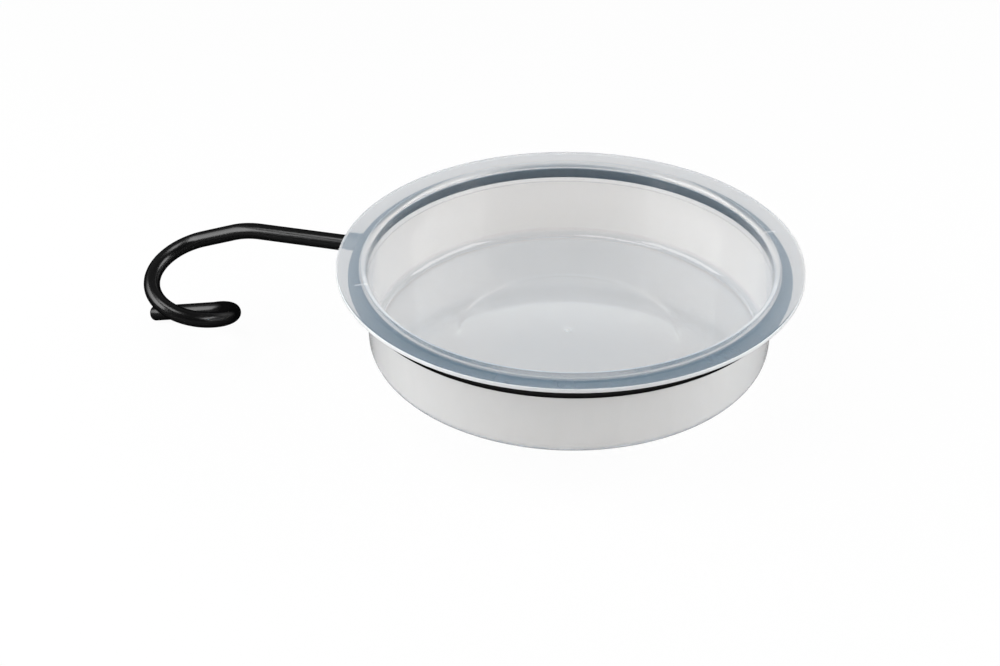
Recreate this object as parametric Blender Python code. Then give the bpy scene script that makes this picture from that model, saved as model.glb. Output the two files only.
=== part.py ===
"""Water tray for a garden feeding pole.

A translucent moulded dish hangs by its flange in a ring of coated steel wire. A wire arm is welded
to the ring, dips, and winds once round the pole as a twist-on hook. Metres, +Z up. The origin is on
the pole's axis, level with the middle of the straight arm, and +X runs from the pole to the dish.
"""

import math

import bmesh
import bpy
from mathutils import Matrix, Vector

# Wires and pole
ARM_WIRE_DIAMETER = 0.0068
RING_WIRE_DIAMETER = 0.0056
POLE_DIAMETER = 0.025
POLE_CLEARANCE = 0.0002

# Hook arm, from the ring outwards
ARM_STRAIGHT = 0.0434
ARM_SIDE_STEP = 0.0046
BEND_RADIUS = 0.038
HOOK_SLOPE = math.radians(19.7)
LEAD_STRAIGHT = 0.0156
HOOK_TURN = math.radians(355.0)
TAIL_BEND_RADIUS = 0.030
TAIL_SLOPE = math.radians(15.4)
TAIL_STRAIGHT = 0.0330
TAIL_END_ROUND = 0.0011

# Dish moulding
WALL_RADIUS = 0.0830
FLANGE_WIDTH = 0.0108
WALL_DRAFT = math.radians(0.9)
WALL_THICKNESS = 0.0013
DISH_DEPTH = 0.0385
FLANGE_EDGE_THICKNESS = 0.0018
FLANGE_DRAFT = math.radians(8.0)
FLANGE_EDGE_ROUND = 0.0006
FLANGE_INNER_ROUND = 0.0020
FLANGE_ROOT_ROUND = 0.0010
BASE_ROUND = 0.0055
FLOOR_THICKNESS = 0.0011
PANEL_RADIUS = 0.0440
PANEL_STEP = 0.0002
PANEL_STEP_WIDTH = 0.0030
PANEL_CROWN = 0.0002
GATE_RADIUS = 0.0018
GATE_HEIGHT = 0.0003

# Welds
SEAM_ANGLE = math.radians(204.5)
SEAM_WIDTH = 0.0018
SEAM_CROWN = 0.00012
ARM_WELD_WIDTH = 0.0124
ARM_WELD_ROOT = 0.0014
ARM_WELD_LEG = 0.0030
ARM_WELD_TOE = 0.0004
ARM_WELD_SINK = 0.0002

# Clearance between neighbours
SEAT_GAP = 0.0003

# Facets
ROUND_STEPS = 72
WIRE_SIDES = 14
HOOK_STEPS = 60
WELD_STEPS = 20
BEND_STEPS = 6
ARC_STEPS = 5
EDGE_STEPS = 2
MERGE_DISTANCE = 1e-6
SHARP_ANGLE = math.radians(40.0)

# Sizes that follow from the driving dimensions
ARM_WIRE_RADIUS = ARM_WIRE_DIAMETER / 2
RING_WIRE_RADIUS = RING_WIRE_DIAMETER / 2
HOOK_RADIUS = POLE_DIAMETER / 2 + POLE_CLEARANCE + ARM_WIRE_RADIUS
ARM_CLEAR_RADIUS = ARM_WIRE_RADIUS + SEAT_GAP
RING_CLEAR_RADIUS = RING_WIRE_RADIUS + SEAT_GAP
RING_RADIUS = WALL_RADIUS + RING_CLEAR_RADIUS
RIM_RADIUS = WALL_RADIUS + FLANGE_WIDTH
ARM_END_GAP = RING_WIRE_RADIUS + ARM_WELD_ROOT
RING_SEAT = RING_CLEAR_RADIUS / math.cos(FLANGE_DRAFT)
ARM_SEAT = ARM_CLEAR_RADIUS / math.cos(FLANGE_DRAFT) - ARM_END_GAP * math.tan(FLANGE_DRAFT)
SEAT_HEIGHT = max(RING_SEAT, ARM_SEAT)
EDGE_LOW = SEAT_HEIGHT + math.tan(FLANGE_DRAFT) * (RIM_RADIUS - RING_RADIUS)
FLANGE_TOP = EDGE_LOW + FLANGE_EDGE_THICKNESS
HOOK_RUN = BEND_RADIUS * math.sin(HOOK_SLOPE) + LEAD_STRAIGHT * math.cos(HOOK_SLOPE)
JOINT_X = HOOK_RUN + ARM_STRAIGHT + ARM_END_GAP
JOINT_ANGLE = math.pi + math.asin(ARM_SIDE_STEP / RING_RADIUS)
DISH_X = JOINT_X - RING_RADIUS * math.cos(JOINT_ANGLE)
DISH_Y = HOOK_RADIUS + ARM_SIDE_STEP


def clear_scene():
    """Remove every object that the file opened with."""
    for thing in list(bpy.data.objects):
        bpy.data.objects.remove(thing, do_unlink=True)


def make_material(name, colour, roughness, metallic, alpha=1.0):
    """One plain finish: a Principled surface with its colour, roughness and metallic value."""
    material = bpy.data.materials.new(name)
    material.use_nodes = True
    surface = material.node_tree.nodes["Principled BSDF"]
    surface.inputs["Base Color"].default_value = (*colour, 1.0)
    surface.inputs["Roughness"].default_value = roughness
    surface.inputs["Metallic"].default_value = metallic
    surface.inputs["Alpha"].default_value = alpha
    return material


def place(name, bm, material, location=(0.0, 0.0, 0.0)):
    """Turn a bmesh into a smooth-shaded object at a place in the part's frame."""
    mesh = bpy.data.meshes.new(name)
    bm.to_mesh(mesh)
    bm.free()
    mesh.shade_smooth()
    mesh.set_sharp_from_angle(angle=SHARP_ANGLE)
    mesh.materials.append(material)
    thing = bpy.data.objects.new(name, mesh)
    thing.location = location
    bpy.context.collection.objects.link(thing)
    return thing


def arc(centre, radius, start, end, steps=ARC_STEPS):
    """Points on an arc in the (radius, height) plane, angles in degrees from outwards."""
    points = []
    for step in range(steps + 1):
        angle = math.radians(start + (end - start) * step / steps)
        points.append((centre[0] + radius * math.cos(angle), centre[1] + radius * math.sin(angle)))
    return points


def turned(profile, steps=ROUND_STEPS):
    """Turn a (radius, height) profile about Z into a closed solid, its ends on the axis."""
    bm = bmesh.new()
    verts = [bm.verts.new((radius, 0.0, height)) for radius, height in profile]
    edges = [bm.edges.new(pair) for pair in zip(verts, verts[1:])]
    bmesh.ops.spin(bm, geom=verts + edges, axis=(0.0, 0.0, 1.0), cent=(0.0, 0.0, 0.0),
                   angle=math.tau, steps=steps, use_merge=True)
    bmesh.ops.remove_doubles(bm, verts=bm.verts, dist=MERGE_DISTANCE)
    bmesh.ops.recalc_face_normals(bm, faces=bm.faces)
    return bm


def swept_wire(points, radii):
    """Sweep a round section along a path, with flat caps, carrying its side vector without twist."""
    bm = bmesh.new()
    last = len(points) - 1
    side = Vector((0.0, 0.0, 1.0))
    sections = []
    for index, point in enumerate(points):
        tangent = (points[min(index + 1, last)] - points[max(index - 1, 0)]).normalized()
        side = (side - tangent * side.dot(tangent)).normalized()
        across = tangent.cross(side)
        section = []
        for corner in range(WIRE_SIDES):
            angle = math.tau * corner / WIRE_SIDES
            offset = side * math.cos(angle) + across * math.sin(angle)
            section.append(bm.verts.new(point + offset * radii[index]))
        sections.append(section)
    for near, far in zip(sections, sections[1:]):
        for corner in range(WIRE_SIDES):
            following = (corner + 1) % WIRE_SIDES
            bm.faces.new((near[corner], near[following], far[following], far[corner]))
    bm.faces.new(list(reversed(sections[0])))
    bm.faces.new(sections[-1])
    bmesh.ops.recalc_face_normals(bm, faces=bm.faces)
    return bm


def floor_profile(level):
    """Gate bump, crowned centre panel and its step down to a level, from the axis outwards."""
    panel = level + PANEL_STEP
    crown = panel + PANEL_CROWN
    points = [(0.0, crown + GATE_HEIGHT)]
    for angle in (60.0, 30.0):
        rise = GATE_HEIGHT * math.sin(math.radians(angle))
        points.append((GATE_RADIUS * math.cos(math.radians(angle)), crown + rise))
    for share in (0.0, 0.4, 0.7, 1.0):
        radius = GATE_RADIUS + (PANEL_RADIUS - GATE_RADIUS) * share
        points.append((radius, panel + PANEL_CROWN * (1.0 - share ** 2)))
    points.append((PANEL_RADIUS + PANEL_STEP_WIDTH, level))
    return points


def flange_underside(radius):
    """Height of the flange's sloping underside, which clears the ring and the arm by the seat gap."""
    return SEAT_HEIGHT + math.tan(FLANGE_DRAFT) * (radius - RING_RADIUS)


def dish_profile():
    """Half section of the moulding: floor, wall and flange inside, then down the outside."""
    base = FLANGE_TOP - DISH_DEPTH
    floor = base + FLOOR_THICKNESS
    slope = math.tan(WALL_DRAFT)
    foot_high = base + BASE_ROUND
    foot_radius = WALL_RADIUS + slope * foot_high
    inner_round = max(BASE_ROUND - WALL_THICKNESS, WALL_THICKNESS)
    inner_foot_high = floor + inner_round
    inner_foot_radius = WALL_RADIUS - WALL_THICKNESS + slope * inner_foot_high
    inner_top = FLANGE_TOP - FLANGE_INNER_ROUND
    inner_top_radius = WALL_RADIUS - WALL_THICKNESS + slope * inner_top
    rim_centre = RIM_RADIUS - FLANGE_EDGE_ROUND
    lower_centre = flange_underside(rim_centre) + FLANGE_EDGE_ROUND / math.cos(FLANGE_DRAFT)
    lean = math.degrees(FLANGE_DRAFT)
    root_high = flange_underside(WALL_RADIUS + FLANGE_ROOT_ROUND)
    root_high -= FLANGE_ROOT_ROUND / math.cos(FLANGE_DRAFT)
    root_centre = WALL_RADIUS + slope * root_high + FLANGE_ROOT_ROUND
    inside = floor_profile(floor)
    inside += arc((inner_foot_radius - inner_round, inner_foot_high), inner_round, -90.0, 0.0)
    inside += arc((inner_top_radius + FLANGE_INNER_ROUND, inner_top), FLANGE_INNER_ROUND, 180.0, 90.0)
    rim = arc((rim_centre, FLANGE_TOP - FLANGE_EDGE_ROUND), FLANGE_EDGE_ROUND, 90.0, 0.0, EDGE_STEPS)
    rim += arc((rim_centre, lower_centre), FLANGE_EDGE_ROUND, 0.0, lean - 90.0, EDGE_STEPS)
    root = arc((root_centre, root_high), FLANGE_ROOT_ROUND, 90.0 + lean, 180.0)
    foot = arc((foot_radius - BASE_ROUND, foot_high), BASE_ROUND, 0.0, -90.0)
    return inside + rim + root + foot + list(reversed(floor_profile(base)))


def on_ring(angle):
    """Point on the ring's wire axis at an angle about the dish's axis."""
    return Vector((RING_RADIUS * math.cos(angle), RING_RADIUS * math.sin(angle), 0.0))


def ring_path(start, end):
    """Points along the ring's wire axis between two angles, as close as the dish's facets."""
    steps = max(EDGE_STEPS, round(ROUND_STEPS * (end - start) / math.tau))
    return [on_ring(start + (end - start) * step / steps) for step in range(steps + 1)]


class WirePath:
    """A wire's axis, drawn by walking: each stretch turns the heading and the downward slope."""

    def __init__(self, start, heading):
        self.points = [Vector(start)]
        self.heading = heading
        self.slope = 0.0

    def walk(self, length, turn=0.0, dip=0.0, steps=1):
        """Go on for a length, turning left by one angle and dipping by another on the way."""
        for _ in range(steps):
            self.heading += turn / steps / 2
            self.slope += dip / steps / 2
            level = math.cos(self.slope)
            direction = Vector((math.cos(self.heading) * level, math.sin(self.heading) * level,
                                -math.sin(self.slope)))
            self.points.append(self.points[-1] + direction * (length / steps))
            self.heading += turn / steps / 2
            self.slope += dip / steps / 2


def hook_path():
    """The arm's wire axis and radii: straight, bend down, lead, a turn round the pole, and the tail."""
    path = WirePath((JOINT_X - ARM_END_GAP, HOOK_RADIUS, 0.0), math.pi)
    path.walk(ARM_STRAIGHT)
    path.walk(BEND_RADIUS * HOOK_SLOPE, dip=HOOK_SLOPE, steps=BEND_STEPS)
    path.walk(LEAD_STRAIGHT)
    path.walk(HOOK_RADIUS * HOOK_TURN / math.cos(HOOK_SLOPE), turn=HOOK_TURN, steps=HOOK_STEPS)
    tail_dip = TAIL_SLOPE - HOOK_SLOPE
    path.walk(TAIL_BEND_RADIUS * abs(tail_dip), dip=tail_dip, steps=EDGE_STEPS)
    path.walk(TAIL_STRAIGHT - TAIL_END_ROUND)
    radii = [ARM_WIRE_RADIUS] * len(path.points)
    for step in range(1, EDGE_STEPS + 1):
        angle = math.pi / 2 * step / EDGE_STEPS
        before = math.pi / 2 * (step - 1) / EDGE_STEPS
        path.walk(TAIL_END_ROUND * (math.sin(angle) - math.sin(before)))
        radii.append(ARM_WIRE_RADIUS - TAIL_END_ROUND * (1.0 - math.cos(angle)))
    return path.points, radii


def cut_away(thing, cutter_bm, location):
    """Subtract a shape from an object with a Boolean that stays on it."""
    cutter = place(thing.name + "_cutter", cutter_bm, thing.data.materials[0], location)
    cutter.hide_render = True
    cutter.display_type = 'WIRE'
    boolean = thing.modifiers.new("cut", 'BOOLEAN')
    boolean.operation = 'DIFFERENCE'
    boolean.solver = 'EXACT'
    boolean.object = cutter


def add_arm_weld(material):
    """Flattened weld between the arm's end and the ring, tapering out along the arm's two sides."""
    half_width = ARM_WELD_WIDTH / 2
    toe = ARM_WIRE_RADIUS + ARM_WELD_TOE
    length = ARM_END_GAP + ARM_WELD_LEG
    start = RING_WIRE_RADIUS / 2
    profile = [(0.0, -start)]
    for step in range(BEND_STEPS + 1):
        share = step / BEND_STEPS
        radius = toe + (half_width - toe) * (1.0 - share) ** 2
        profile.append((radius, -start - (length - start) * share))
    profile.append((0.0, -length))
    bm = turned(profile, steps=WELD_STEPS)
    flatten = Matrix.Diagonal((1.0, (RING_WIRE_RADIUS - ARM_WELD_SINK) / half_width, 1.0, 1.0))
    x_to_y_to_z = Matrix.Rotation(math.tau / 3, 4, Vector((1.0, 1.0, 1.0)))
    bmesh.ops.transform(bm, matrix=x_to_y_to_z @ flatten, verts=bm.verts)
    weld = place("arm_weld", bm, material, (JOINT_X, HOOK_RADIUS, 0.0))
    reach = ARM_WELD_WIDTH / RING_RADIUS
    ring = ring_path(JOINT_ANGLE - reach, JOINT_ANGLE + reach)
    cut_away(weld, swept_wire(ring, [RING_CLEAR_RADIUS] * len(ring)), (DISH_X, DISH_Y, 0.0))
    arm = [Vector((-length * 2, 0.0, 0.0)), Vector((SEAT_GAP - ARM_END_GAP, 0.0, 0.0))]
    cut_away(weld, swept_wire(arm, [ARM_CLEAR_RADIUS] * len(arm)), (JOINT_X, HOOK_RADIUS, 0.0))


def add_seam_weld(material):
    """Short barrel of weld metal that closes the ring, a little proud of the wire."""
    half = SEAM_WIDTH / 2 - SEAT_GAP
    crown = RING_WIRE_RADIUS + SEAM_CROWN
    profile = [(0.0, half), (RING_WIRE_RADIUS, half), (crown, 0.0)]
    profile += [(RING_WIRE_RADIUS, -half), (0.0, -half)]
    bm = turned(profile, steps=WIRE_SIDES)
    along_ring = Matrix.Rotation(SEAM_ANGLE, 4, 'Z') @ Matrix.Rotation(-math.pi / 2, 4, 'X')
    bmesh.ops.transform(bm, matrix=Matrix.Translation(on_ring(SEAM_ANGLE)) @ along_ring, verts=bm.verts)
    place("ring_seam_weld", bm, material, (DISH_X, DISH_Y, 0.0))


def main():
    """Build the dish, the ring, the hook and the welds."""
    clear_scene()
    milky = make_material("milky_polypropylene", (0.74, 0.76, 0.78), 0.25, 0.0, alpha=0.6)
    black = make_material("black_powder_coat", (0.012, 0.012, 0.013), 0.32, 0.0)
    coated_weld = make_material("coated_weld", (0.016, 0.016, 0.017), 0.45, 0.0)
    centre = (DISH_X, DISH_Y, 0.0)

    place("water_dish", turned(dish_profile()), milky, centre)

    half_seam = SEAM_WIDTH / 2 / RING_RADIUS
    ring = ring_path(SEAM_ANGLE + half_seam, SEAM_ANGLE + math.tau - half_seam)
    place("support_ring", swept_wire(ring, [RING_WIRE_RADIUS] * len(ring)), black, centre)
    add_seam_weld(coated_weld)

    place("hook_arm", swept_wire(*hook_path()), black)
    add_arm_weld(coated_weld)


main()
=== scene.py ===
"""Studio scene of a water tray for a garden feeding pole.

A milky dish hangs by its flange in a ring of black wire, and a wire arm winds round the pole. The
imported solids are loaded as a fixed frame. Each sub-assembly below is a class that keeps its sizes in
metres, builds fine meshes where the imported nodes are, and dresses them in procedural finishes.
"""

import logging
import math
from dataclasses import dataclass, field
from enum import Enum
from typing import Any, ClassVar, Mapping, Optional, Sequence, Union

import bmesh
import bpy
from mathutils import Matrix, Vector


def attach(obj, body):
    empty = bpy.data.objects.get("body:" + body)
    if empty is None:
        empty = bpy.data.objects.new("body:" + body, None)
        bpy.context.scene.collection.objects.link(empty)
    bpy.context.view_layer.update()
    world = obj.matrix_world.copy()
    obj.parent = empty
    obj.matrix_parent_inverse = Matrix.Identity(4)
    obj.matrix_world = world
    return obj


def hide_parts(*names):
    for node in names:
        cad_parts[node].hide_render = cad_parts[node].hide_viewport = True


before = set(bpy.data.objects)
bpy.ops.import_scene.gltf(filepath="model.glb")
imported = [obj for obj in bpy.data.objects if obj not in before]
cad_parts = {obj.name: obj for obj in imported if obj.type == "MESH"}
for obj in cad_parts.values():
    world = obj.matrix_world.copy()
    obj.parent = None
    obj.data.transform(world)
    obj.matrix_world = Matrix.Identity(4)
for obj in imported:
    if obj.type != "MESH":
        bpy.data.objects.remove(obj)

LOG = logging.getLogger("water_tray")
MERGE_DISTANCE = 2e-6
AXIS_GUARD = 1e-9
WALL_DEPTH = "wall"
WIRE_TAPER = "taper"

Colour = tuple[float, float, float]
Point = tuple[float, float]
Span = tuple[float, float]
Number = Union["Socket", float, int]

WHITE: Colour = (1.0, 1.0, 1.0)


class Body(Enum):
    """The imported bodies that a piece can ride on."""

    HOLDER = "holder"
    DISH = "dish"


class Slot(Enum):
    """The record's material slots."""

    MILKY = "milky_polypropylene"
    BLACK = "black_powder_coat"
    WELD = "coated_weld"


class Zone(Enum):
    """Stretches of the dish's section, each with the depth of plastic seen there in millimetres."""

    GATE = 5.2
    FLOOR = 1.85
    CORNER = 2.0
    WALL = 1.05
    ROUND = 3.9
    # The lip's depth whitens the inner round: partly its thicker plastic, partly painted light for the bright
    # gap that refraction shows there.
    LIP = 3.4
    FLANGE = 2.4
    EDGE = 9.0


class Socket:
    """One output of a node, which takes part in Python arithmetic by adding Math nodes."""

    def __init__(self, maker: "NodeMaker", output: Optional[bpy.types.NodeSocket]) -> None:
        """Keep the tree's maker and the output, if the node has one."""
        self.maker = maker
        self.output = output

    def part(self, name: Union[str, int]) -> "Socket":
        """Another output of the same node."""
        return Socket(self.maker, self.output.node.outputs[name])

    def math(self, operation: str, *values: Number) -> "Socket":
        """A Math node that joins values by an operation."""
        return self.maker.add("ShaderNodeMath", {"operation": operation}, dict(enumerate(values)))

    def __add__(self, other: Number) -> "Socket":
        """self + other."""
        return self.math("ADD", self, other)

    def __radd__(self, other: Number) -> "Socket":
        """other + self."""
        return self.math("ADD", other, self)

    def __sub__(self, other: Number) -> "Socket":
        """self - other."""
        return self.math("SUBTRACT", self, other)

    def __rsub__(self, other: Number) -> "Socket":
        """other - self."""
        return self.math("SUBTRACT", other, self)

    def __mul__(self, other: Number) -> "Socket":
        """self * other."""
        return self.math("MULTIPLY", self, other)

    def __rmul__(self, other: Number) -> "Socket":
        """other * self."""
        return self.math("MULTIPLY", other, self)

    def __truediv__(self, other: Number) -> "Socket":
        """self / other."""
        return self.math("DIVIDE", self, other)

    def __rtruediv__(self, other: Number) -> "Socket":
        """other / self."""
        return self.math("DIVIDE", other, self)

    def __pow__(self, other: Number) -> "Socket":
        """self to a power."""
        return self.math("POWER", self, other)

    def __rpow__(self, other: Number) -> "Socket":
        """A number to the power of self."""
        return self.math("POWER", other, self)

    def __mod__(self, other: Number) -> "Socket":
        """Remainder of self over other, never negative."""
        return self.math("FLOORED_MODULO", self, other)

    def __rmod__(self, other: Number) -> "Socket":
        """Remainder of other over self, never negative."""
        return self.math("FLOORED_MODULO", other, self)

    def __abs__(self) -> "Socket":
        """self without its sign."""
        return self.math("ABSOLUTE", self)

    def ramp(self, low: float, high: float) -> "Socket":
        """0 at low and 1 at high, with a smooth and clamped rise between them."""
        return self.maker.add("ShaderNodeMapRange", {"interpolation_type": "SMOOTHSTEP"},
                              {"Value": self, "From Min": low, "From Max": high})


class NodeMaker:
    """Adds nodes to one shader or geometry tree."""

    def __init__(self, tree: bpy.types.NodeTree) -> None:
        """Keep the tree."""
        self.tree = tree

    def add(self, kind: str, settings: Optional[Mapping[str, Any]] = None,
            sockets: Optional[Mapping[Union[str, int], Any]] = None,
            output: Union[str, int] = 0) -> Socket:
        """Add one node.

        Args:
            kind: The node's type name.
            settings: The node's own properties, set first.
            sockets: Input sockets by name or place, each with a plain value or a Socket to link.
            output: The output that is returned.

        Returns:
            The chosen output.
        """
        node = self.tree.nodes.new(kind)
        for name, setting in (settings or {}).items():
            setattr(node, name, setting)
        for name, value in (sockets or {}).items():
            if isinstance(value, Socket):
                self.tree.links.new(value.output, node.inputs[name])
            else:
                node.inputs[name].default_value = value
        return Socket(self, node.outputs[output] if len(node.outputs) else None)


class SurfaceMaker(NodeMaker):
    """Makes one material, with the textures that this object's finishes share."""

    COLOUR_INPUTS: ClassVar[tuple[int, int]] = (6, 7)
    COLOUR_OUTPUT: ClassVar[int] = 2

    def __init__(self, name: str) -> None:
        """Start an empty material.

        Args:
            name: The material's name.
        """
        self.material = bpy.data.materials.new(name)
        self.material.use_nodes = True
        self.material.node_tree.nodes.clear()
        super().__init__(self.material.node_tree)

    def place(self, centre: Sequence[float] = (0.0, 0.0, 0.0)) -> Socket:
        """Object coordinates in metres, measured from a centre."""
        coords = self.add("ShaderNodeTexCoord", output="Object")
        return self.add("ShaderNodeMapping", {"vector_type": "POINT"},
                        {"Vector": coords, "Location": [-value for value in centre]})

    def noise(self, place: Socket, per_metre: float, detail: float = 2.0, rough: float = 0.5) -> Socket:
        """Noise between 0 and 1, with so many features to a metre."""
        return self.add("ShaderNodeTexNoise", {"noise_dimensions": "3D"},
                        {"Vector": place, "Scale": per_metre, "Detail": detail, "Roughness": rough})

    def blend(self, share: Number, first: Union[Socket, Colour], second: Union[Socket, Colour]) -> Socket:
        """A colour that goes from the first to the second as the share goes from 0 to 1."""
        ends = [end if isinstance(end, Socket) else (*end, 1.0) for end in (first, second)]
        return self.add("ShaderNodeMix", {"data_type": "RGBA"},
                        {0: share, **dict(zip(self.COLOUR_INPUTS, ends))}, self.COLOUR_OUTPUT)

    def bump(self, height: Socket, depth: float, strength: float) -> Socket:
        """A normal from a height between 0 and 1 that stands for a depth in metres."""
        return self.add("ShaderNodeBump", None,
                        {"Height": height, "Distance": depth, "Strength": strength})

    def mix(self, share: Number, first: Socket, second: Socket) -> Socket:
        """A shader that goes from the first to the second as the share goes from 0 to 1."""
        return self.add("ShaderNodeMixShader", None, {0: share, 1: first, 2: second})

    def done(self, surface: Socket) -> bpy.types.Material:
        """Give the material its surface and return it."""
        self.add("ShaderNodeOutputMaterial", None, {"Surface": surface})
        return self.material


@dataclass(frozen=True)
class MilkyPlastic:
    """Natural polypropylene: a glossy skin over a frosted body, milkier and whiter where it is deep.

    Lengths are in metres. Depths of plastic are in millimetres, as the dish's zones give them.
    """

    centre: tuple[float, float, float]
    flange_top: float
    cool: Colour = (0.175, 0.355, 0.53)
    pale: Colour = (0.205, 0.385, 0.55)
    white: Colour = (0.88, 0.89, 0.9)
    passed: Colour = (0.94, 0.86, 0.785)
    passed_flange: Colour = (0.86, 0.755, 0.665)
    onward: Colour = (0.78, 0.78, 0.785)
    shade: Colour = (0.86, 0.86, 0.86)
    milk_per_mm: float = 0.176
    stain_gain: float = 2.9
    clouding: float = 0.16
    streaking: float = 0.12
    streak_drift: float = 4.0
    whitening: Span = (2.6, 3.8)
    onward_share: Span = (0.4, 0.05)
    bending: float = 1.25
    frost: float = 0.14
    frost_grain: float = 0.012
    polish: float = 0.05
    polish_start: Span = (2.25, 2.38)
    polish_end: Span = (2.6, 3.6)
    skin_bending: float = 1.49
    skin_roughness: float = 0.08
    relief: float = 0.00002
    relief_strength: float = 0.12
    knit_angles: Span = (math.radians(26.9), math.radians(210.9))
    knit_width: float = 0.0005
    knit_reach: Span = (0.0822, 0.0874)
    knit_fade: Span = (0.0004, 0.0006)
    knit_below: Span = (0.0006, 0.0002)
    knit_depth: float = 1.3

    def material(self) -> bpy.types.Material:
        """Build the material.

        Returns:
            A mix of frosted refraction and milky plastic, by depth, flow streaks, clouds and knit lines.
        """
        maker = SurfaceMaker(Slot.MILKY.value)
        place = maker.place(self.centre)
        axes = maker.add("ShaderNodeSeparateXYZ", None, {"Vector": place})
        across, along, height = axes.part("X"), axes.part("Y"), axes.part("Z")
        radius = (across * across + along * along + AXIS_GUARD) ** 0.5
        ray = maker.add("ShaderNodeCombineXYZ", None, {
            "X": across / radius, "Y": along / radius, "Z": (radius + height) * self.streak_drift})
        flow = maker.noise(ray, per_metre=9.0, detail=3.0, rough=0.55)
        cloud = maker.noise(place, per_metre=24.0)
        peel = maker.noise(place, per_metre=420.0, detail=1.0)
        haze = maker.noise(place, per_metre=1900.0)
        wall = maker.add("ShaderNodeAttribute", {"attribute_name": WALL_DEPTH}, None, "Fac")
        on_top = height.ramp(*(self.flange_top - below for below in self.knit_below))
        depth = wall + self.knit_depth * self.knit(across, along, radius) * on_top
        evenness = 1.0 - (self.clouding + self.streaking) / 2
        density = depth * (evenness + self.clouding * cloud + self.streaking * flow)
        milk = 1.0 - math.e ** (density * -self.milk_per_mm)
        thick = depth.ramp(*self.whitening)
        polished = depth.ramp(*self.polish_start) * (1.0 - depth.ramp(*self.polish_end))
        normal = maker.bump(0.6 * peel + 0.4 * flow, self.relief, self.relief_strength)
        skin = {"Roughness": self.frost + self.frost_grain * haze - (self.frost - self.polish) * polished,
                "IOR": self.bending, "Coat Weight": 1.0, "Coat Roughness": self.skin_roughness,
                "Coat IOR": self.skin_bending, "Normal": normal}
        thin = maker.blend(0.55 * cloud + 0.45 * flow, self.cool, self.pale)
        body = maker.add("ShaderNodeBsdfPrincipled", None, {
            **skin, "Base Color": maker.blend(thick, thin, self.white), "Specular IOR Level": 0.0})
        stained = maker.blend(milk * self.stain_gain, WHITE, self.passed)
        clear = maker.add("ShaderNodeBsdfPrincipled", None, {
            **skin, "Base Color": maker.blend(polished, stained, self.passed_flange),
            "Specular Tint": (0.0, 0.0, 0.0, 1.0), "Transmission Weight": 1.0})
        shadow = maker.add("ShaderNodeBsdfTransparent", None, {"Color": (*self.shade, 1.0)})
        onward = maker.add("ShaderNodeBsdfTranslucent", None,
                           {"Color": (*self.onward, 1.0), "Normal": normal})
        lamp = maker.add("ShaderNodeLightPath", output="Is Shadow Ray")
        thin_share, thick_share = self.onward_share
        share = thin_share + (thick_share - thin_share) * thick
        return maker.done(maker.mix(milk, maker.mix(lamp, clear, shadow), maker.mix(share, body, onward)))

    def knit(self, across: Socket, along: Socket, radius: Socket) -> Socket:
        """Mark the thin lines, at two sides of the flange, where the plastic's flows met.

        Args:
            across: Place along X from the dish's axis.
            along: Place along Y from the dish's axis.
            radius: Distance from the dish's axis.

        Returns:
            1 on the lines and 0 elsewhere.
        """
        start, end = self.knit_reach
        start_fade, end_fade = self.knit_fade
        lines: Number = 0.0
        for angle in self.knit_angles:
            cosine, sine = math.cos(angle), math.sin(angle)
            aside = abs(along * cosine - across * sine)
            line = 1.0 - aside.ramp(self.knit_width / 2, self.knit_width)
            lines = lines + line * (across * cosine + along * sine).ramp(0.0, start)
        return lines * radius.ramp(start, start + start_fade) * (1.0 - radius.ramp(end, end + end_fade))


@dataclass(frozen=True)
class PowderCoat:
    """Semi-gloss black powder coat on wire, with a fine orange peel."""

    deep: Colour = (0.002, 0.002, 0.0022)
    dusty: Colour = (0.005, 0.005, 0.0052)
    roughness: float = 0.17
    patch_roughness: float = 0.08
    peel_roughness: float = 0.05
    matt_roughness: float = 0.9
    refraction: float = 1.6
    fading: Span = (0.05, 0.55)
    relief: float = 0.00008
    relief_strength: float = 0.3

    def material(self) -> bpy.types.Material:
        """Build the material.

        Returns:
            A dark coat whose gloss and relief vary in fine grain, and whose gloss fades aslant.
        """
        maker = SurfaceMaker(Slot.BLACK.value)
        place = maker.place()
        grain = maker.noise(place, per_metre=2600.0, rough=0.6)
        peel = maker.noise(place, per_metre=820.0, detail=1.0)
        patch = maker.noise(place, per_metre=60.0, detail=3.0)
        black = maker.blend(0.5 * patch + 0.5 * grain, self.deep, self.dusty)
        normal = maker.bump(0.7 * peel + 0.3 * grain, self.relief, self.relief_strength)
        gloss = maker.add("ShaderNodeBsdfPrincipled", None, {
            "Base Color": black, "IOR": self.refraction, "Normal": normal,
            "Roughness": self.roughness + self.patch_roughness * patch + self.peel_roughness * peel})
        matt = maker.add("ShaderNodeBsdfPrincipled", None, {
            "Base Color": black, "Roughness": self.matt_roughness, "Specular IOR Level": 0.0,
            "Normal": normal})
        aslant = maker.add("ShaderNodeLayerWeight", None, {"Blend": 0.5}, "Facing")
        return maker.done(maker.mix(aslant.ramp(*self.fading), gloss, matt))


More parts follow.
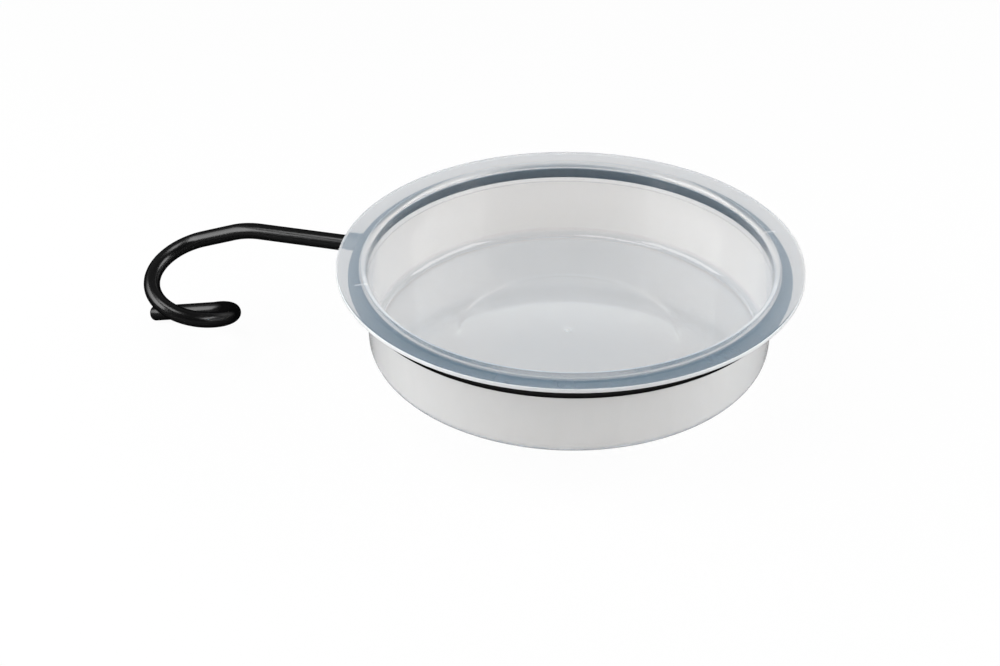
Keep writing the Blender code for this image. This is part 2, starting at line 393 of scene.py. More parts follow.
@dataclass(frozen=True)
class WeldCoat:
    """Powder coat over weld metal: a little greyer, rougher and lumpier than on the drawn wire."""

    name: str = Slot.WELD.value
    deep: Colour = (0.012, 0.012, 0.013)
    thin: Colour = (0.05, 0.052, 0.056)
    thinning: Span = (0.45, 0.7)
    roughness: float = 0.36
    grain_roughness: float = 0.2
    relief: float = 0.00025
    relief_strength: float = 0.7

    def material(self) -> bpy.types.Material:
        """Build the material.

        Returns:
            A dark, uneven coat that thins out on the weld's lumps.
        """
        maker = SurfaceMaker(self.name)
        place = maker.place()
        lump = maker.noise(place, per_metre=700.0, detail=3.0, rough=0.6)
        grain = maker.noise(place, per_metre=2600.0)
        surface = maker.add("ShaderNodeBsdfPrincipled", None, {
            "Base Color": maker.blend(lump.ramp(*self.thinning), self.deep, self.thin),
            "Roughness": self.roughness + self.grain_roughness * grain,
            "Normal": maker.bump(0.8 * lump + 0.2 * grain, self.relief, self.relief_strength)})
        return maker.done(surface)


@dataclass(frozen=True)
class StudioPaper:
    """Seamless white paper that stays white to the eye and keeps a faint shadow."""

    colour: Colour = (0.84, 0.84, 0.84)
    dimmed: Colour = (0.12, 0.12, 0.12)
    glow: float = 0.95
    roughness: float = 0.85
    fibre_roughness: float = 0.1
    shine: float = 0.2

    def material(self) -> bpy.types.Material:
        """Build the material.

        Returns:
            White paper, mixed with plain white for what the camera sees directly or through the dish,
            and dimmed in reflections.
        """
        maker = SurfaceMaker("studio_paper")
        path = maker.add("ShaderNodeLightPath")
        camera, through = path.part("Is Camera Ray"), path.part("Is Transmission Ray")
        seen = self.glow * camera.math("MAXIMUM", camera, through)
        fibre = maker.noise(maker.place(), per_metre=300.0, detail=3.0)
        paper = maker.add("ShaderNodeBsdfPrincipled", None, {
            "Base Color": maker.blend(path.part("Is Glossy Ray"), self.colour, self.dimmed),
            "Roughness": self.roughness + self.fibre_roughness * fibre,
            "Specular IOR Level": self.shine})
        white = maker.add("ShaderNodeEmission", None, {"Color": (*WHITE, 1.0), "Strength": 1.0})
        return maker.done(maker.mix(seen, paper, white))


class GeometryTree(NodeMaker):
    """A geometry tree with named inputs, which ends in Realize Instances and Set Material."""

    NAME: ClassVar[str] = "tree"
    INPUTS: ClassVar[Mapping[str, str]] = {}

    def __init__(self) -> None:
        """Make the tree, its interface and its nodes."""
        super().__init__(bpy.data.node_groups.new(self.NAME, "GeometryNodeTree"))
        face = self.tree.interface
        face.new_socket("Geometry", in_out="INPUT", socket_type="NodeSocketGeometry")
        for name, kind in self.INPUTS.items():
            face.new_socket(name, in_out="INPUT", socket_type=kind)
        face.new_socket("Finish", in_out="INPUT", socket_type="NodeSocketMaterial")
        face.new_socket("Geometry", in_out="OUTPUT", socket_type="NodeSocketGeometry")
        given = self.add("NodeGroupInput")
        smooth = self.add("GeometryNodeSetShadeSmooth", None, {"Geometry": self.shape(given)})
        real = self.add("GeometryNodeRealizeInstances", None, {"Geometry": smooth})
        dressed = self.add("GeometryNodeSetMaterial", None,
                           {"Geometry": real, "Material": given.part("Finish")})
        self.add("NodeGroupOutput", None, {"Geometry": dressed})

    def shape(self, given: Socket) -> Socket:
        """The geometry that the tree makes from its inputs."""
        raise NotImplementedError

    def run(self, name: str, source: bpy.types.Mesh, finish: bpy.types.Material,
            values: Mapping[str, Any], place: Matrix) -> bpy.types.Object:
        """Run the tree on a mesh and keep the result as a plain mesh.

        Args:
            name: The piece's name.
            source: The path or section that the tree works on.
            finish: The material that the tree sets.
            values: The tree's named inputs.
            place: Where the result goes in the part's frame.

        Returns:
            The piece, at the origin, with its place in its mesh.
        """
        carrier = bpy.data.objects.new(name + "_carrier", source)
        bpy.context.scene.collection.objects.link(carrier)
        modifier = carrier.modifiers.new(self.NAME, "NODES")
        modifier.node_group = self.tree
        identifiers = {item.name: item.identifier for item in self.tree.interface.items_tree
                       if item.in_out == "INPUT"}
        for label, value in {**values, "Finish": finish}.items():
            modifier[identifiers[label]] = value
        depsgraph = bpy.context.evaluated_depsgraph_get()
        mesh = bpy.data.meshes.new_from_object(carrier.evaluated_get(depsgraph), depsgraph=depsgraph)
        carrier.modifiers.remove(modifier)
        bpy.data.objects.remove(carrier, do_unlink=True)
        return piece_from(name, mesh, finish, place)


class LatheTree(GeometryTree):
    """Turns a section, given as a chain of points in the XZ plane, about Z into a closed skin."""

    NAME = "lathe"
    INPUTS = {"Segments": "NodeSocketInt"}

    def shape(self, given: Socket) -> Socket:
        """Lay a grid of section points by turns round the axis and close it.

        Args:
            given: The tree's inputs.

        Returns:
            The closed skin, whose points keep the section's depths.
        """
        section, segments = given.part("Geometry"), given.part("Segments")
        columns = segments + 1
        count = self.add("GeometryNodeAttributeDomainSize", {"component": "MESH"},
                         {"Geometry": section}, "Point Count")
        grid = self.add("GeometryNodeMeshGrid", None, {"Vertices X": count, "Vertices Y": columns})
        index = self.add("GeometryNodeInputIndex")
        row = index.math("FLOOR", (index + 0.5) / columns)
        angle = (index % columns) / segments * math.tau
        point = self.sample(section, row, "FLOAT_VECTOR", self.add("GeometryNodeInputPosition"))
        wall = self.sample(section, row, "FLOAT", self.add(
            "GeometryNodeInputNamedAttribute", {"data_type": "FLOAT"}, {"Name": WALL_DEPTH}))
        axes = self.add("ShaderNodeSeparateXYZ", None, {"Vector": point})
        place = self.add("ShaderNodeCombineXYZ", None, {
            "X": axes.part("X") * angle.math("COSINE", angle),
            "Y": axes.part("X") * angle.math("SINE", angle), "Z": axes.part("Z")})
        laid = self.add("GeometryNodeSetPosition", None, {"Geometry": grid, "Position": place})
        marked = self.add("GeometryNodeStoreNamedAttribute",
                          {"data_type": "FLOAT", "domain": "POINT"},
                          {"Geometry": laid, "Name": WALL_DEPTH, "Value": wall})
        return self.add("GeometryNodeMergeByDistance", None,
                        {"Geometry": marked, "Distance": MERGE_DISTANCE})

    def sample(self, section: Socket, row: Socket, kind: str, value: Socket) -> Socket:
        """A field's value at one of the section's points."""
        return self.add("GeometryNodeSampleIndex", {"data_type": kind, "domain": "POINT"},
                        {"Geometry": section, "Value": value, "Index": row})


class WireTree(GeometryTree):
    """Sweeps a round section along a chain of points, thinned by the points' taper."""

    NAME = "wire"
    INPUTS = {"Wire Radius": "NodeSocketFloat", "Sides": "NodeSocketInt"}

    def shape(self, given: Socket) -> Socket:
        """Sweep a circle along the chain and cap both ends.

        Args:
            given: The tree's inputs.

        Returns:
            The wire's closed skin.
        """
        path = self.add("GeometryNodeMeshToCurve", None, {"Mesh": given.part("Geometry")})
        section = self.add("GeometryNodeCurvePrimitiveCircle", None,
                           {"Resolution": given.part("Sides"), "Radius": given.part("Wire Radius")})
        taper = self.add("GeometryNodeInputNamedAttribute", {"data_type": "FLOAT"}, {"Name": WIRE_TAPER})
        return self.add("GeometryNodeCurveToMesh", None, {
            "Curve": path, "Profile Curve": section, "Scale": taper, "Fill Caps": True})


def piece_from(name: str, mesh: bpy.types.Mesh, finish: bpy.types.Material,
               place: Matrix) -> bpy.types.Object:
    """Make a finished piece of a mesh: placed, merged, faces outwards, smooth.

    Args:
        name: The piece's name.
        mesh: Its mesh, before it is placed.
        finish: Its material.
        place: Where it goes in the part's frame.

    Returns:
        The piece, at the origin, with its place in its mesh.
    """
    shell = bmesh.new()
    shell.from_mesh(mesh)
    shell.transform(place)
    bmesh.ops.remove_doubles(shell, verts=shell.verts, dist=MERGE_DISTANCE)
    bmesh.ops.recalc_face_normals(shell, faces=shell.faces)
    shell.to_mesh(mesh)
    shell.free()
    mesh.name = name
    mesh.materials.clear()
    mesh.materials.append(finish)
    mesh.shade_smooth()
    piece = bpy.data.objects.new(name, mesh)
    bpy.context.scene.collection.objects.link(piece)
    return piece


def chain(name: str, points: Sequence[Sequence[float]], attribute: str,
          values: Sequence[float]) -> bpy.types.Mesh:
    """A mesh of points joined in a row, with one number for each point.

    Args:
        name: The mesh's name.
        points: The points in order.
        attribute: The name under which the numbers are kept.
        values: The numbers.

    Returns:
        The mesh.
    """
    mesh = bpy.data.meshes.new(name)
    mesh.from_pydata(points, [(place, place + 1) for place in range(len(points) - 1)], [])
    mesh.attributes.new(attribute, "FLOAT", "POINT").data.foreach_set("value", values)
    return mesh


def hand_over(piece: bpy.types.Object, body: Body, node: str) -> None:
    """Put a piece on its body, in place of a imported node, and log it.

    Args:
        piece: The finished piece.
        body: The body it rides on.
        node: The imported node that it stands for.
    """
    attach(piece, body.value)
    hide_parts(node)
    LOG.info("%s: %d faces, on %s, for %s", piece.name, len(piece.data.polygons), body.value, node)


@dataclass(frozen=True)
class TraySizes:
    """Sizes that the dish and its wire holder share, with the part's origin on the pole's axis."""

    arm_wire_diameter: float = 0.0068
    ring_wire_diameter: float = 0.0056
    pole_diameter: float = 0.025
    pole_clearance: float = 0.0002
    wall_radius: float = 0.0830
    flange_width: float = 0.0108
    flange_edge: float = 0.0018
    flange_draft: float = math.radians(8.0)
    seat_gap: float = 0.0003
    arm_straight: float = 0.0434
    arm_side_step: float = 0.0046
    bend_radius: float = 0.038
    hook_slope: float = math.radians(19.7)
    lead_straight: float = 0.0156
    arm_weld_root: float = 0.0014
    sight_drop: float = 0.0004

    @property
    def arm_wire(self) -> float:
        """Radius of the arm's wire."""
        return self.arm_wire_diameter / 2

    @property
    def ring_wire(self) -> float:
        """Radius of the ring's wire."""
        return self.ring_wire_diameter / 2

    @property
    def hook_radius(self) -> float:
        """From the pole's axis to the middle of the wire that winds round it."""
        return self.pole_diameter / 2 + self.pole_clearance + self.arm_wire

    @property
    def clear_radius(self) -> float:
        """Radius of the ring's wire with its clearance to the dish."""
        return self.ring_wire + self.seat_gap

    @property
    def ring_radius(self) -> float:
        """From the dish's axis to the middle of the ring's wire."""
        return self.wall_radius + self.clear_radius

    @property
    def rim_radius(self) -> float:
        """From the dish's axis to the flange's edge."""
        return self.wall_radius + self.flange_width

    @property
    def flange_top(self) -> float:
        """Height of the flange's flat top."""
        return self.flange_underside(self.rim_radius) + self.flange_edge

    def flange_underside(self, radius: float) -> float:
        """Height of the flange's sloping underside, which clears the ring and the thicker arm.

        Args:
            radius: Distance from the dish's axis.

        Returns:
            The height there, over the middle of the ring's wire.
        """
        slope = math.tan(self.flange_draft)
        ring_clear = self.clear_radius / math.cos(self.flange_draft)
        arm_clear = (self.arm_wire + self.seat_gap) / math.cos(self.flange_draft)
        seat = max(ring_clear, arm_clear - self.arm_end_gap * slope)
        return seat + slope * (radius - self.ring_radius)

    @property
    def arm_end_gap(self) -> float:
        """From the middle of the ring's wire to the arm's cut end."""
        return self.ring_wire + self.arm_weld_root

    @property
    def joint_x(self) -> float:
        """Where the arm's line meets the middle of the ring's wire."""
        run = self.bend_radius * math.sin(self.hook_slope) + self.lead_straight * math.cos(self.hook_slope)
        return run + self.arm_straight + self.arm_end_gap

    @property
    def dish_centre(self) -> Vector:
        """The dish's axis, level with the middle of the ring's wire."""
        angle = math.pi + math.asin(self.arm_side_step / self.ring_radius)
        return Vector((self.joint_x - self.ring_radius * math.cos(angle),
                       self.hook_radius + self.arm_side_step, 0.0))

    @property
    def rim_centre(self) -> Vector:
        """The middle of the rim, just under the flange's top, which the studio is set up round."""
        return self.dish_centre + Vector((0.0, 0.0, self.flange_top - self.sight_drop))


@dataclass
class Section:
    """A half section of a turned shape, drawn from the axis outwards and back."""

    LINE_SHARES: ClassVar[tuple[float, ...]] = (0.03, 0.12, 0.5, 0.88, 0.97, 1.0)

    points: list[Point] = field(default_factory=list)
    depths: list[float] = field(default_factory=list)

    def to(self, point: Point, depth: float = 0.0) -> None:
        """Add one point, unless the section already ends there.

        Args:
            point: The point, as (radius, height).
            depth: The depth of plastic seen there, in millimetres, where the shape is of plastic.
        """
        if not self.points or math.dist(self.points[-1], point) > MERGE_DISTANCE:
            self.points.append(point)
            self.depths.append(depth)

    def line(self, end: Point, zone: Zone) -> None:
        """Go straight to a point, with extra points by both ends that keep the shading flat.

        Args:
            end: Where the line ends.
            zone: The stretch of the moulding that it belongs to.
        """
        radius, height = self.points[-1]
        for share in self.LINE_SHARES:
            self.to((radius + (end[0] - radius) * share, height + (end[1] - height) * share), zone.value)

    def arc(self, centre: Point, radius: float, start: float, end: float, zone: Zone,
            steps: int = 12, last: Optional[Zone] = None) -> None:
        """Go straight to an arc and round it.

        Args:
            centre: The arc's centre.
            radius: Its radius.
            start: The angle it starts at, in degrees from outwards.
            end: The angle it ends at.
            zone: The stretch of the moulding that it belongs to.
            steps: How many chords stand for it.
            last: The stretch that it has gone over to by its end, if that is another.
        """
        change = (last or zone).value - zone.value
        for step in range(steps + 1):
            angle = math.radians(start + (end - start) * step / steps)
            point = (centre[0] + radius * math.cos(angle), centre[1] + radius * math.sin(angle))
            if step == 0 and self.points:
                self.line(point, zone)
            self.to(point, zone.value + change * step / steps)

    def mesh(self, name: str) -> bpy.types.Mesh:
        """The section as a chain of points that carry the depth of plastic."""
        return chain(name, [(radius, 0.0, height) for radius, height in self.points], WALL_DEPTH, self.depths)


def falling(share: float) -> float:
    """1 at a share of 0 and 0 at a share of 1, with a smooth fall between them."""
    return 0.5 + 0.5 * math.cos(math.pi * share)


@dataclass
class WaterDish:
    """The dish: one thin moulding with a flange, a drafted wall and a crowned floor panel."""

    PANEL_SHARES: ClassVar[tuple[float, ...]] = (0.04, 0.12, 0.25, 0.4, 0.55, 0.7, 0.85, 0.96, 1.0)

    sizes: TraySizes
    wall_draft: float = math.radians(0.9)
    wall_thickness: float = 0.0013
    depth: float = 0.0385
    edge_round: float = 0.0006
    inner_round: float = 0.0020
    root_reach: float = 0.0848
    root_round: float = 0.0010
    base_round: float = 0.0055
    floor_thickness: float = 0.0011
    panel_radius: float = 0.0440
    panel_step: float = 0.0002
    panel_step_width: float = 0.0030
    panel_crown: float = 0.0002
    gate_radius: float = 0.0018
    gate_height: float = 0.0003
    gate_core: float = 0.6
    gate_steps: int = 12
    ease_steps: int = 8
    segments: int = 240

    def floor_points(self, level: float) -> list[Point]:
        """The gate bump, the crowned panel and its eased step, from the axis to the flat ring.

        Args:
            level: The height of the flat ring round the panel.

        Returns:
            Points as (radius, height).
        """
        panel = level + self.panel_step
        points = []
        for step in range(self.gate_steps + 1):
            share = step / self.gate_steps
            bump = self.gate_height * falling(share)
            points.append((self.gate_radius * share, panel + self.panel_crown + bump))
        for share in self.PANEL_SHARES:
            radius = self.gate_radius + (self.panel_radius - self.gate_radius) * share
            points.append((radius, panel + self.panel_crown * (1.0 - share ** 2)))
        for step in range(1, self.ease_steps + 1):
            share = step / self.ease_steps
            height = level + self.panel_step * falling(share)
            points.append((self.panel_radius + self.panel_step_width * share, height))
        return points

    def section(self) -> Section:
        """Draw the half section, inside first, then the flange's edge and the outside.

        Returns:
            The whole half section.
        """
        sizes = self.sizes
        top = sizes.flange_top
        base = top - self.depth
        floor = base + self.floor_thickness
        slope = math.tan(self.wall_draft)
        corner = self.base_round - self.wall_thickness
        corner_high = floor + corner
        inside = sizes.wall_radius - self.wall_thickness
        lip_high = top - self.inner_round
        lip = (inside + slope * lip_high + self.inner_round, lip_high)
        rim = sizes.rim_radius - self.edge_round
        edge = (rim, top - self.edge_round)
        edge_low = (rim, sizes.flange_underside(rim) + self.edge_round / math.cos(sizes.flange_draft))
        lean = math.degrees(sizes.flange_draft)
        root = sizes.wall_radius + self.root_round
        root_high = sizes.flange_underside(root) - self.root_round / math.cos(sizes.flange_draft)
        foot_high = base + self.base_round
        foot = sizes.wall_radius + slope * foot_high
        drawn = Section()
        for point in self.floor_points(floor):
            gate = point[0] < self.gate_core * self.gate_radius
            drawn.to(point, (Zone.GATE if gate else Zone.FLOOR).value)
        drawn.arc((inside + slope * corner_high - corner, corner_high), corner, -90, 0, Zone.CORNER)
        drawn.line((inside + slope * lip_high, lip_high), Zone.WALL)
        # The lip's chords get shorter towards the flange's flat top.
        drawn.arc(lip, self.inner_round, 180, 120, Zone.LIP, steps=8)
        drawn.arc(lip, self.inner_round, 118, 90, Zone.LIP, steps=5)
        drawn.arc(edge, self.edge_round, 90, 60, Zone.FLANGE, steps=3)
        drawn.arc(edge, self.edge_round, 55, 0, Zone.EDGE, steps=5)
        drawn.arc(edge_low, self.edge_round, 0, lean - 90, Zone.EDGE, steps=6)
        drawn.line((self.root_reach, sizes.flange_underside(self.root_reach)), Zone.FLANGE)
        drawn.arc((root + slope * root_high, root_high), self.root_round, 90 + lean, 180, Zone.ROUND,
                  last=Zone.WALL)
        drawn.line((sizes.wall_radius - slope * sizes.clear_radius, -sizes.clear_radius), Zone.WALL)
        drawn.arc((foot - self.base_round, foot_high), self.base_round, 0, -90, Zone.ROUND,
                  last=Zone.FLOOR)
        underside = list(reversed(self.floor_points(base)))
        drawn.line(underside[0], Zone.FLOOR)
        for point in underside:
            drawn.to(point, Zone.FLOOR.value)
        return drawn

    def build(self, lathe: LatheTree) -> bpy.types.Object:
        """Turn the section and dress the moulding.

        Args:
            lathe: The tree that turns sections.

        Returns:
            The dish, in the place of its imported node.
        """
        centre = self.sizes.dish_centre
        finish = MilkyPlastic(tuple(centre), self.sizes.flange_top).material()
        piece = lathe.run("dish_moulding", self.section().mesh("dish_section"), finish,
                          {"Segments": self.segments}, Matrix.Translation(centre))
        hand_over(piece, Body.DISH, "water_dish")
        return piece


class WirePath:
    """A wire's middle line, drawn by walking: each stretch turns the heading and dips the slope."""

    def __init__(self, start: Sequence[float], heading: float) -> None:
        """Start level.

        Args:
            start: The first point.
            heading: The angle to go at, seen from above.
        """
        self.points = [Vector(start)]
        self.tapers = [1.0]
        self.heading = heading
        self.slope = 0.0

    def walk(self, length: float, turn: float = 0.0, dip: float = 0.0, steps: int = 1,
             taper: float = 1.0) -> None:
        """Go on for a length.

        Args:
            length: How far to go.
            turn: The angle to turn left by on the way.
            dip: The angle to dip by on the way.
            steps: How many chords stand for the stretch.
            taper: The wire's thickness at the end, as a share of the whole.
        """
        for _ in range(steps):
            self.heading += turn / steps / 2
            self.slope += dip / steps / 2
            level = math.cos(self.slope)
            ahead = Vector((math.cos(self.heading) * level, math.sin(self.heading) * level,
                            -math.sin(self.slope)))
            self.points.append(self.points[-1] + ahead * (length / steps))
            self.tapers.append(taper)
            self.heading += turn / steps / 2
            self.slope += dip / steps / 2

    def mesh(self, name: str) -> bpy.types.Mesh:
        """The line as a chain of points that carry the wire's taper."""
        return chain(name, self.points, WIRE_TAPER, self.tapers)


@dataclass
class WireHolder:
    """The holder: a ring under the flange, a twist-on pole hook, and the two welds that join them."""

    sizes: TraySizes
    hook_turn: float = math.radians(355.0)
    tail_bend_radius: float = 0.030
    tail_slope: float = math.radians(15.4)
    tail_straight: float = 0.0330
    tail_end_round: float = 0.0011
    seam_angle: float = math.radians(204.5)
    seam_width: float = 0.0018
    seam_crown: float = 0.00012
    seam_steps: int = 12
    seam_segments: int = 48
    weld_width: float = 0.0124
    weld_leg: float = 0.0030
    weld_toe: float = 0.0004
    weld_sink: float = 0.0002
    weld_ripples: int = 5
    ripple_height: float = 0.00012
    weld_steps: int = 36
    weld_corners: int = 64
    end_steps: int = 6
    sides: int = 32

    def build(self, wire: WireTree, lathe: LatheTree) -> list[bpy.types.Object]:
        """Build and dress the four pieces.

        Args:
            wire: The tree that sweeps wires.
            lathe: The tree that turns sections.

        Returns:
            The ring, its seam, the hook and the arm's weld.
        """
        coat, weld = PowderCoat().material(), WeldCoat().material()
        # The ring's seam bead gets a paler grey coat: a painted highlight that stands in for the light line
        # across the ring.
        seam_highlight_coat = WeldCoat("seam_painted_highlight", deep=(0.02, 0.02, 0.021), thin=(0.06, 0.062, 0.066)).material()
        sizes = self.sizes
        ring = self.swept(wire, "ring_wire", self.ring_path(), sizes.ring_wire, coat, sizes.dish_centre)
        seam = self.seam_bead(lathe, seam_highlight_coat)
        hook = self.swept(wire, "hook_wire", self.hook_path(), sizes.arm_wire, coat, Vector())
        bead = self.arm_bead(weld)
        hand_over(ring, Body.HOLDER, "support_ring")
        hand_over(seam, Body.HOLDER, "ring_seam_weld")
        hand_over(hook, Body.HOLDER, "hook_arm")
        hand_over(bead, Body.HOLDER, "arm_weld")
        return [ring, seam, hook, bead]

    def swept(self, wire: WireTree, name: str, path: WirePath, radius: float,
              finish: bpy.types.Material, place: Vector) -> bpy.types.Object:
        """A wire of a radius along a path."""
        values = {"Wire Radius": radius, "Sides": self.sides}
        return wire.run(name, path.mesh(name + "_path"), finish, values, Matrix.Translation(place))

    def ring_path(self) -> WirePath:
        """Draw the ring's middle line.

        Returns:
            The path from one side of the seam round to the other.
        """
        radius = self.sizes.ring_radius
        start = self.seam_angle + self.seam_width / 2 / radius
        turn = math.tau - self.seam_width / radius
        path = WirePath((radius * math.cos(start), radius * math.sin(start), 0.0), start + math.pi / 2)
        path.walk(radius * turn, turn=turn, steps=288)
        return path

    def hook_path(self) -> WirePath:
        """Draw the arm's middle line.

        Returns:
            The path: straight, bend down, lead, one turn round the pole, and the tail with its rounded end.
        """
        sizes = self.sizes
        path = WirePath((sizes.joint_x - sizes.arm_end_gap, sizes.hook_radius, 0.0), math.pi)
        path.walk(sizes.arm_straight, steps=12)
        path.walk(sizes.bend_radius * sizes.hook_slope, dip=sizes.hook_slope, steps=16)
        path.walk(sizes.lead_straight, steps=6)
        turn_length = sizes.hook_radius * self.hook_turn / math.cos(sizes.hook_slope)
        path.walk(turn_length, turn=self.hook_turn, steps=180)
        dip = self.tail_slope - sizes.hook_slope
        path.walk(self.tail_bend_radius * abs(dip), dip=dip, steps=6)
        path.walk(self.tail_straight - self.tail_end_round, steps=10)
        before = 0.0
        for step in range(1, self.end_steps + 1):
            angle = math.pi / 2 * step / self.end_steps
            lost = self.tail_end_round * (1.0 - math.cos(angle))
            path.walk(self.tail_end_round * (math.sin(angle) - math.sin(before)),
                      taper=1.0 - lost / sizes.arm_wire)
            before = angle
        return path

    def seam_bead(self, lathe: LatheTree, finish: bpy.types.Material) -> bpy.types.Object:
        """Make the short barrel of weld metal that closes the ring.

        Args:
            lathe: The tree that turns sections.
            finish: The weld's material.

        Returns:
            The seam's weld.
        """
        radius, half = self.sizes.ring_wire, self.seam_width / 2 - self.sizes.seat_gap
        bead = Section()
        bead.to((0.0, half))
        for step in range(self.seam_steps + 1):
            share = 2 * step / self.seam_steps - 1.0
            bead.to((radius + self.seam_crown * (1.0 - share ** 2), -half * share))
        bead.to((0.0, -half))
        spot = Vector((self.sizes.ring_radius * math.cos(self.seam_angle),
                       self.sizes.ring_radius * math.sin(self.seam_angle), 0.0))
        place = (Matrix.Translation(self.sizes.dish_centre + spot) @ Matrix.Rotation(self.seam_angle, 4, "Z")
                 @ Matrix.Rotation(-math.pi / 2, 4, "X"))
        return lathe.run("ring_seam_bead", bead.mesh("seam_section"), finish,
                         {"Segments": self.seam_segments}, place)

    def arm_bead(self, finish: bpy.types.Material) -> bpy.types.Object:
        """Make the flattened weld that flares from the arm's end to the ring, with faint ripples.

        Args:
            finish: The weld's material.

        Returns:
            The arm's weld.
        """
        sizes = self.sizes
        toe = sizes.arm_wire + self.weld_toe
        start, length = sizes.ring_wire / 2, sizes.arm_end_gap + self.weld_leg
        flat = sizes.ring_wire - self.weld_sink
        shell = bmesh.new()
        rows = []
        angles = [math.tau * corner / self.weld_corners for corner in range(self.weld_corners)]
        for step in range(self.weld_steps + 1):
            share = step / self.weld_steps
            flare = (1.0 - share) ** 2
            ripple = self.ripple_height * math.sin(math.tau * self.weld_ripples * share) * (1.0 - share)
            wide = toe + (self.weld_width / 2 - toe) * flare + ripple
            tall = toe + (flat - toe) * flare + ripple
            x = -start - (length - start) * share
            rows.append([shell.verts.new((x, wide * math.cos(angle), tall * math.sin(angle)))
                         for angle in angles])
        for near, far in zip(rows, rows[1:]):
            for corner in range(self.weld_corners):
                after = (corner + 1) % self.weld_corners
                shell.faces.new((near[corner], near[after], far[after], far[corner]))
        shell.faces.new(list(reversed(rows[0])))
        shell.faces.new(rows[-1])
        mesh = bpy.data.meshes.new("arm_weld_bead")
        shell.to_mesh(mesh)
        shell.free()
        return piece_from("arm_weld_bead", mesh, finish,
                          Matrix.Translation((sizes.joint_x, sizes.hook_radius, 0.0)))


@dataclass(frozen=True)
class Softbox:
    """A large even lamp, aimed at the dish and not seen through it.

    It is placed by its direction from the dish, in degrees from the camera's right and above level.
    """

    name: str
    azimuth: float
    elevation: float
    width: float
    height: float
    brightness: float
    distance: float = 0.95

    def build(self, rig: Matrix) -> bpy.types.Object:
        """Make the lamp.

        Args:
            rig: The studio's frame, with X to the camera's right and Y away from it.

        Returns:
            The lamp.
        """
        azimuth, elevation = math.radians(self.azimuth), math.radians(self.elevation)
        away = Vector((math.cos(azimuth) * math.cos(elevation), math.sin(azimuth) * math.cos(elevation),
                       math.sin(elevation)))
        data = bpy.data.lights.new(self.name, "AREA")
        data.shape = "RECTANGLE"
        data.size, data.size_y = self.width, self.height
        data.energy = self.brightness * math.pi * self.width * self.height
        lamp = bpy.data.objects.new(self.name, data)
        aim = (-away).to_track_quat("-Z", "Y").to_matrix().to_4x4()
        lamp.matrix_world = rig @ Matrix.Translation(away * self.distance) @ aim
        lamp.visible_transmission = False
        bpy.context.scene.collection.objects.link(lamp)
        return lamp


@dataclass(frozen=True)
class Viewpoint:
    """The camera: how far it stands, how it is tilted in radians, and where on the tray it aims."""

    lens: float = 49.98
    sensor: float = 36.0
    clip: Span = (0.01, 50.0)
    distance: float = 0.560
    pitch: float = 0.5815
    roll: float = 0.0122
    aim_left: float = 0.0279
    aim_down: float = 0.0316

    def build(self, rig: Matrix) -> bpy.types.Object:
        """Make the camera and look through it.

        Args:
            rig: The studio's frame, whose origin is the middle of the dish's rim.

        Returns:
            The camera.
        """
        ahead = Vector((0.0, math.cos(self.pitch), -math.sin(self.pitch)))
        level = Vector((1.0, 0.0, 0.0))
        below = ahead.cross(level)
        right = math.cos(self.roll) * level + math.sin(self.roll) * below
        down = -math.sin(self.roll) * level + math.cos(self.roll) * below
        spot = -self.distance * ahead - self.aim_left * right + self.aim_down * down
        turn = Matrix((right, -down, -ahead)).transposed().to_4x4()
        data = bpy.data.cameras.new("camera")
        data.lens, data.sensor_width, data.sensor_fit = self.lens, self.sensor, "HORIZONTAL"
        data.clip_start, data.clip_end = self.clip
        camera = bpy.data.objects.new("camera", data)
        camera.matrix_world = rig @ Matrix.Translation(spot) @ turn
        bpy.context.scene.collection.objects.link(camera)
        bpy.context.scene.camera = camera
        return camera


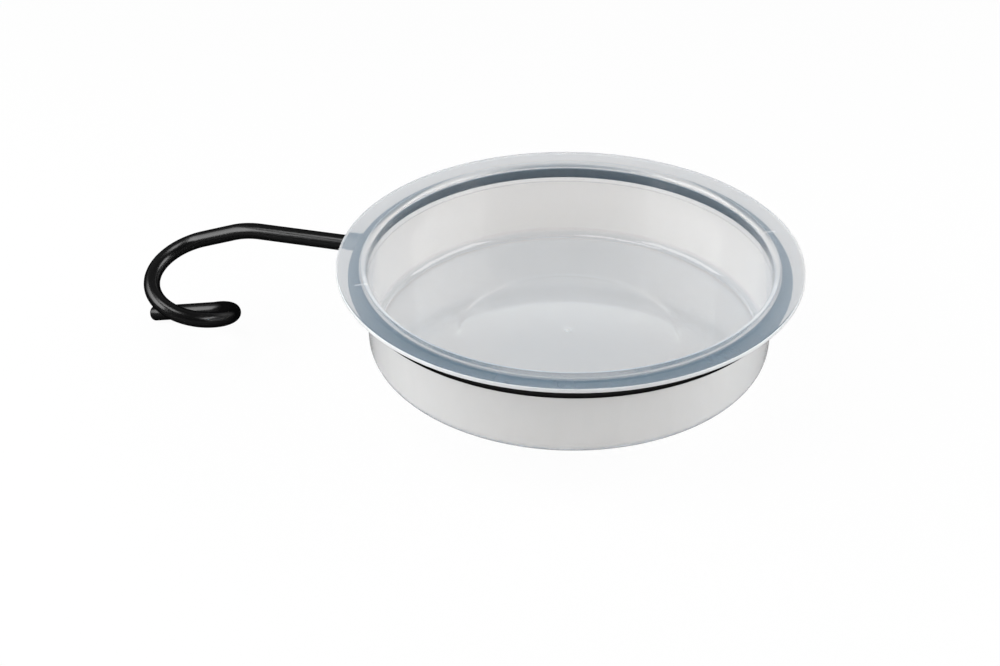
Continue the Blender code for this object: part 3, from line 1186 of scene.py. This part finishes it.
@dataclass
class Studio:
    """White paper, soft lamps, a backdrop that is bright behind the tray, and the camera.

    The backdrop's spans are parts of a direction: how far it points behind, above or aside.
    """

    rim_centre: Vector
    floor_height: float
    turn: float = math.radians(16.0)
    paper_side: float = 6.0
    paper_cells: int = 8
    bright_behind: float = 1.85
    dim_in_front: float = 0.04
    panel_sides: Span = (0.1, 0.7)
    panel_top: Span = (0.523, 0.562)
    top_loss: float = 1.6
    bright_through: float = 1.8
    gap_aside: float = 0.052
    gap_sides: Span = (0.02, 0.12)
    sweep_height: Span = (0.1, 0.2)
    lamps: tuple[Softbox, ...] = (
        Softbox("side_left", azimuth=190.0, elevation=26.0, width=0.9, height=0.6, brightness=4.8),
        Softbox("side_right", azimuth=-10.0, elevation=26.0, width=0.9, height=0.6, brightness=4.6),
        Softbox("overhead", azimuth=220.0, elevation=64.0, width=0.6, height=0.32, brightness=4.1),
    )

    def build(self) -> None:
        """Set up the floor, the lamps, the backdrop and the camera."""
        rig = Matrix.Translation(self.rim_centre) @ Matrix.Rotation(self.turn, 4, "Z")
        self.floor(rig)
        for lamp in self.lamps:
            lamp.build(rig)
            LOG.info("%s set up", lamp.name)
        self.backdrop(rig.to_3x3())
        Viewpoint().build(rig)
        bpy.context.scene.view_settings.view_transform = "Standard"

    def floor(self, rig: Matrix) -> bpy.types.Object:
        """Lay the sheet of paper that the hook's lowest point touches.

        Args:
            rig: The studio's frame.

        Returns:
            The sheet, which is stage and not part of the tray.
        """
        shell = bmesh.new()
        bmesh.ops.create_grid(shell, x_segments=self.paper_cells, y_segments=self.paper_cells,
                              size=self.paper_side / 2)
        mesh = bpy.data.meshes.new("paper_floor")
        shell.to_mesh(mesh)
        shell.free()
        spot = Vector((rig.translation.x, rig.translation.y, self.floor_height))
        sheet = piece_from("paper_floor", mesh, StudioPaper().material(), Matrix.Translation(spot))
        return sheet

    def backdrop(self, rig: Matrix) -> None:
        """Set up the surroundings: white to the eye, and as light a bright panel behind the tray.

        Through the dish, the panel has a dim gap and stands over a white sweep of paper.

        Args:
            rig: The studio's turn, with X to the camera's right and Y away from it.
        """
        world = bpy.data.worlds.new("studio")
        bpy.context.scene.world = world
        world.use_nodes = True
        world.node_tree.nodes.clear()
        maker = NodeMaker(world.node_tree)
        toward = maker.add("ShaderNodeTexCoord", output="Generated")
        aside, behind, above = (maker.add("ShaderNodeVectorMath", {"operation": "DOT_PRODUCT"},
                                          {0: toward, 1: tuple(axis)}, "Value") for axis in rig.col)
        panel = behind.ramp(*self.panel_sides)
        glow = self.dim_in_front + panel * (self.bright_behind - self.dim_in_front
                                            - self.top_loss * above.ramp(*self.panel_top))
        beside = abs(aside - self.gap_aside).ramp(*self.gap_sides)
        sweep = 1.0 - above.ramp(*self.sweep_height)
        passed = sweep + (1.0 - sweep) * (self.bright_through * panel * beside)
        path = maker.add("ShaderNodeLightPath")
        camera, through = path.part("Is Camera Ray"), path.part("Is Transmission Ray")
        strength = camera + (1.0 - camera) * (glow + through * (passed - glow))
        light = maker.add("ShaderNodeBackground", None, {"Color": (*WHITE, 1.0), "Strength": strength})
        maker.add("ShaderNodeOutputWorld", None, {"Surface": light})


def main() -> None:
    """Build the dish, the holder and the studio, in that order."""
    logging.basicConfig(level=logging.INFO, format="%(name)s: %(message)s")
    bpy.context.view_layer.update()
    sizes = TraySizes()
    lathe, wire = LatheTree(), WireTree()
    pieces = [WaterDish(sizes).build(lathe), *WireHolder(sizes).build(wire, lathe)]
    lowest = min(vertex.co.z for piece in pieces for vertex in piece.data.vertices)
    Studio(sizes.rim_centre, lowest).build()


if __name__ == "__main__":
    main()
